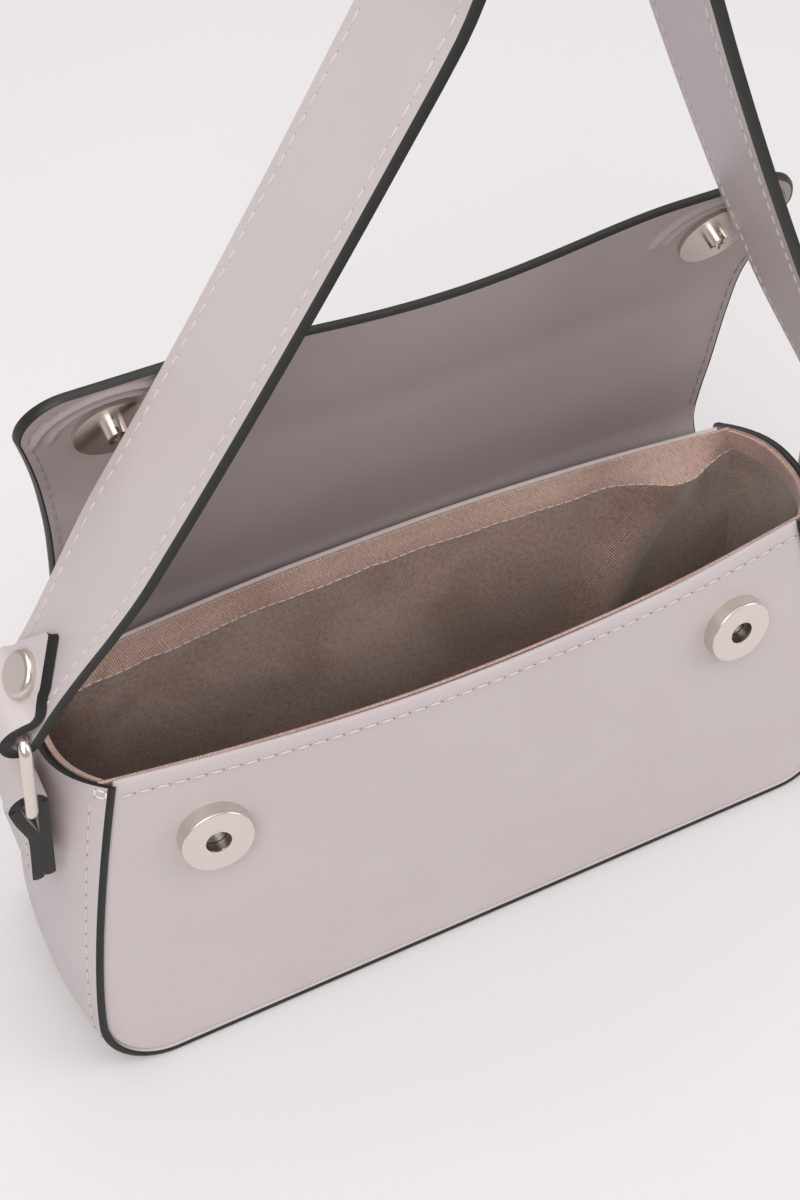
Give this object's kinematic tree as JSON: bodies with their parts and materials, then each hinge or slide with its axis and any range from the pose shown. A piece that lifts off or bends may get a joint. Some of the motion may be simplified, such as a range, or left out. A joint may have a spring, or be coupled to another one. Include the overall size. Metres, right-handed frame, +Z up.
{
  "type": "baguette bag",
  "caption": "Small soft leather shoulder bag with an open front flap, magnetic snaps, side rings and a short strap.",
  "frame": {"origin": "centre of the base on the floor", "axes": "+X to the right, +Y to the back, +Z up, seen from the front"},
  "size_m": [0.2328, 0.066, 0.2893],
  "materials": {
    "leather": "smooth satin coated leather, greige",
    "lining": "taupe twill lining",
    "hardware": "polished nickel",
    "magnet": "ferrite"
  },
  "bodies": {
    "bag": {"gusset_strip": "leather", "front_panel": "leather", "back_panel": "leather", "lining_front": "lining", "lining_back": "lining", "lining_gusset": "lining", "flap_root": "leather", "ring_tab_left": "leather", "ring_tab_right": "leather", "socket_plate_left": "hardware", "socket_case_left": "hardware", "socket_magnet_left": "magnet", "socket_washer_left": "hardware", "socket_plate_right": "hardware", "socket_case_right": "hardware", "socket_magnet_right": "magnet", "socket_washer_right": "hardware"},
    "flap_top": {"flap_top_outer": "leather", "flap_top_facing": "leather"},
    "flap_front": {"flap_front_outer": "leather", "flap_front_facing": "leather", "stud_disc_left": "hardware", "stud_disc_right": "hardware", "stud_washer_left": "hardware", "stud_washer_right": "hardware"},
    "left_ring": {"ring_left": "hardware"},
    "right_ring": {"ring_right": "hardware"},
    "strap": {"shoulder_strap": "leather", "rivet_cap_left": "hardware", "rivet_cap_right": "hardware", "rivet_back_left": "hardware", "rivet_back_right": "hardware"}
  },
  "joints": [
    {"name": "flap_lift", "type": "hinge", "parent": "bag", "child": "flap_top", "pos_m": [0, 0.0327, 0.0968], "axis": [1, 0, 0], "range_deg": [-160, 81.8], "deforming": ["shoulder_strap"]},
    {"name": "flap_fold", "type": "hinge", "parent": "flap_top", "child": "flap_front", "pos_m": [0, 0.02295, 0.14904], "axis": [1, 0, 0], "range_deg": [-8, 69], "deforming": ["shoulder_strap"]},
    {"name": "left_ring_swing", "type": "hinge", "parent": "bag", "child": "left_ring", "pos_m": [-0.11185, -0.003, 0.0975], "axis": [0, 1, 0], "range_deg": [-25, 25]},
    {"name": "strap_swing", "type": "hinge", "parent": "left_ring", "child": "strap", "pos_m": [-0.1098, -0.003, 0.12091], "axis": [0, 1, 0], "range_deg": [-25, 25]},
    {"name": "right_ring_swing", "type": "hinge", "parent": "bag", "child": "right_ring", "pos_m": [0.11185, -0.003, 0.0975], "axis": [0, 1, 0], "range_deg": [-25, 25]}
  ],
  "couplings": [
    {"joint": "strap_swing", "follows": "left_ring_swing", "ratio": -1},
    {"joint": "right_ring_swing", "follows": "left_ring_swing", "ratio": 1}
  ]
}
